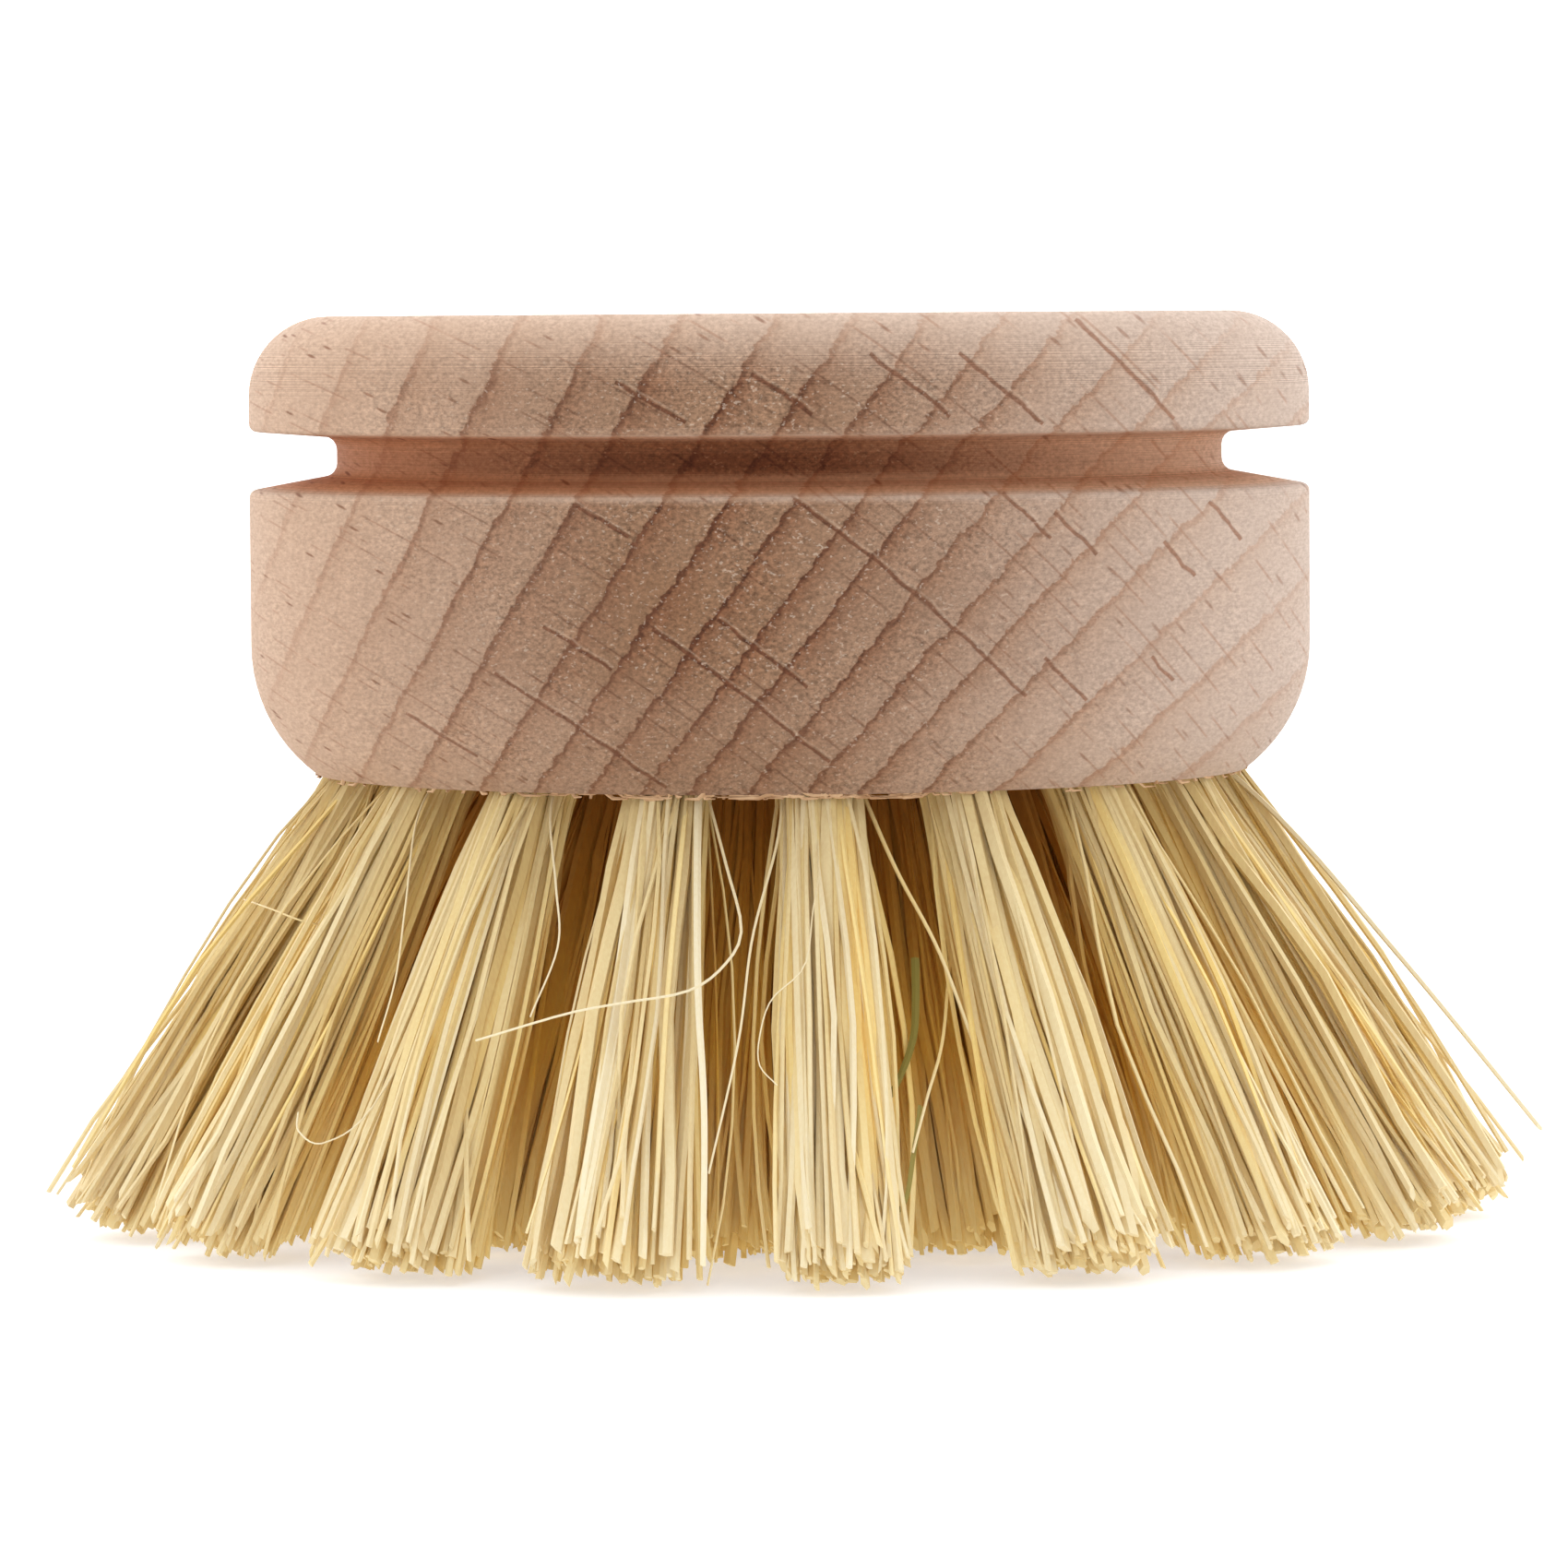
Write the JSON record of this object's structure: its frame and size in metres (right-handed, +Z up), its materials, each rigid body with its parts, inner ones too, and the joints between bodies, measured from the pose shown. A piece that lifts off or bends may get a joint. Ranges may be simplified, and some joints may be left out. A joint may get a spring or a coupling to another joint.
{
  "type": "dish brush head",
  "caption": "Round turned wooden dish brush head with a clip groove near its flat top and flared tufts of pale plant fibre below.",
  "frame": {"origin": "on the turning axis, in the plane that the fibre tips stand on", "axes": "+Z up along the turning axis, from the fibre tips to the block's flat top; -Y is the pictured side"},
  "size_m": [0.0544, 0.0544, 0.0342],
  "materials": {
    "beech": "matte",
    "fibre": "satin",
    "steel": "satin"
  },
  "bodies": {
    "root": {"brush_block": "beech", "centre_tuft": "fibre", "inner_tuft_01": "fibre", "inner_tuft_02": "fibre", "inner_tuft_03": "fibre", "inner_tuft_04": "fibre", "inner_tuft_05": "fibre", "inner_tuft_06": "fibre", "middle_tuft_01": "fibre", "middle_tuft_02": "fibre", "middle_tuft_03": "fibre", "middle_tuft_04": "fibre", "middle_tuft_05": "fibre", "middle_tuft_06": "fibre", "middle_tuft_07": "fibre", "middle_tuft_08": "fibre", "middle_tuft_09": "fibre", "middle_tuft_10": "fibre", "middle_tuft_11": "fibre", "middle_tuft_12": "fibre", "outer_tuft_01": "fibre", "outer_tuft_02": "fibre", "outer_tuft_03": "fibre", "outer_tuft_04": "fibre", "outer_tuft_05": "fibre", "outer_tuft_06": "fibre", "outer_tuft_07": "fibre", "outer_tuft_08": "fibre", "outer_tuft_09": "fibre", "outer_tuft_10": "fibre", "outer_tuft_11": "fibre", "outer_tuft_12": "fibre", "outer_tuft_13": "fibre", "outer_tuft_14": "fibre", "outer_tuft_15": "fibre", "outer_tuft_16": "fibre", "outer_tuft_17": "fibre", "outer_tuft_18": "fibre", "centre_staple": "steel", "inner_staples": "steel", "middle_staples": "steel", "outer_staples": "steel"}
  },
  "joints": []
}
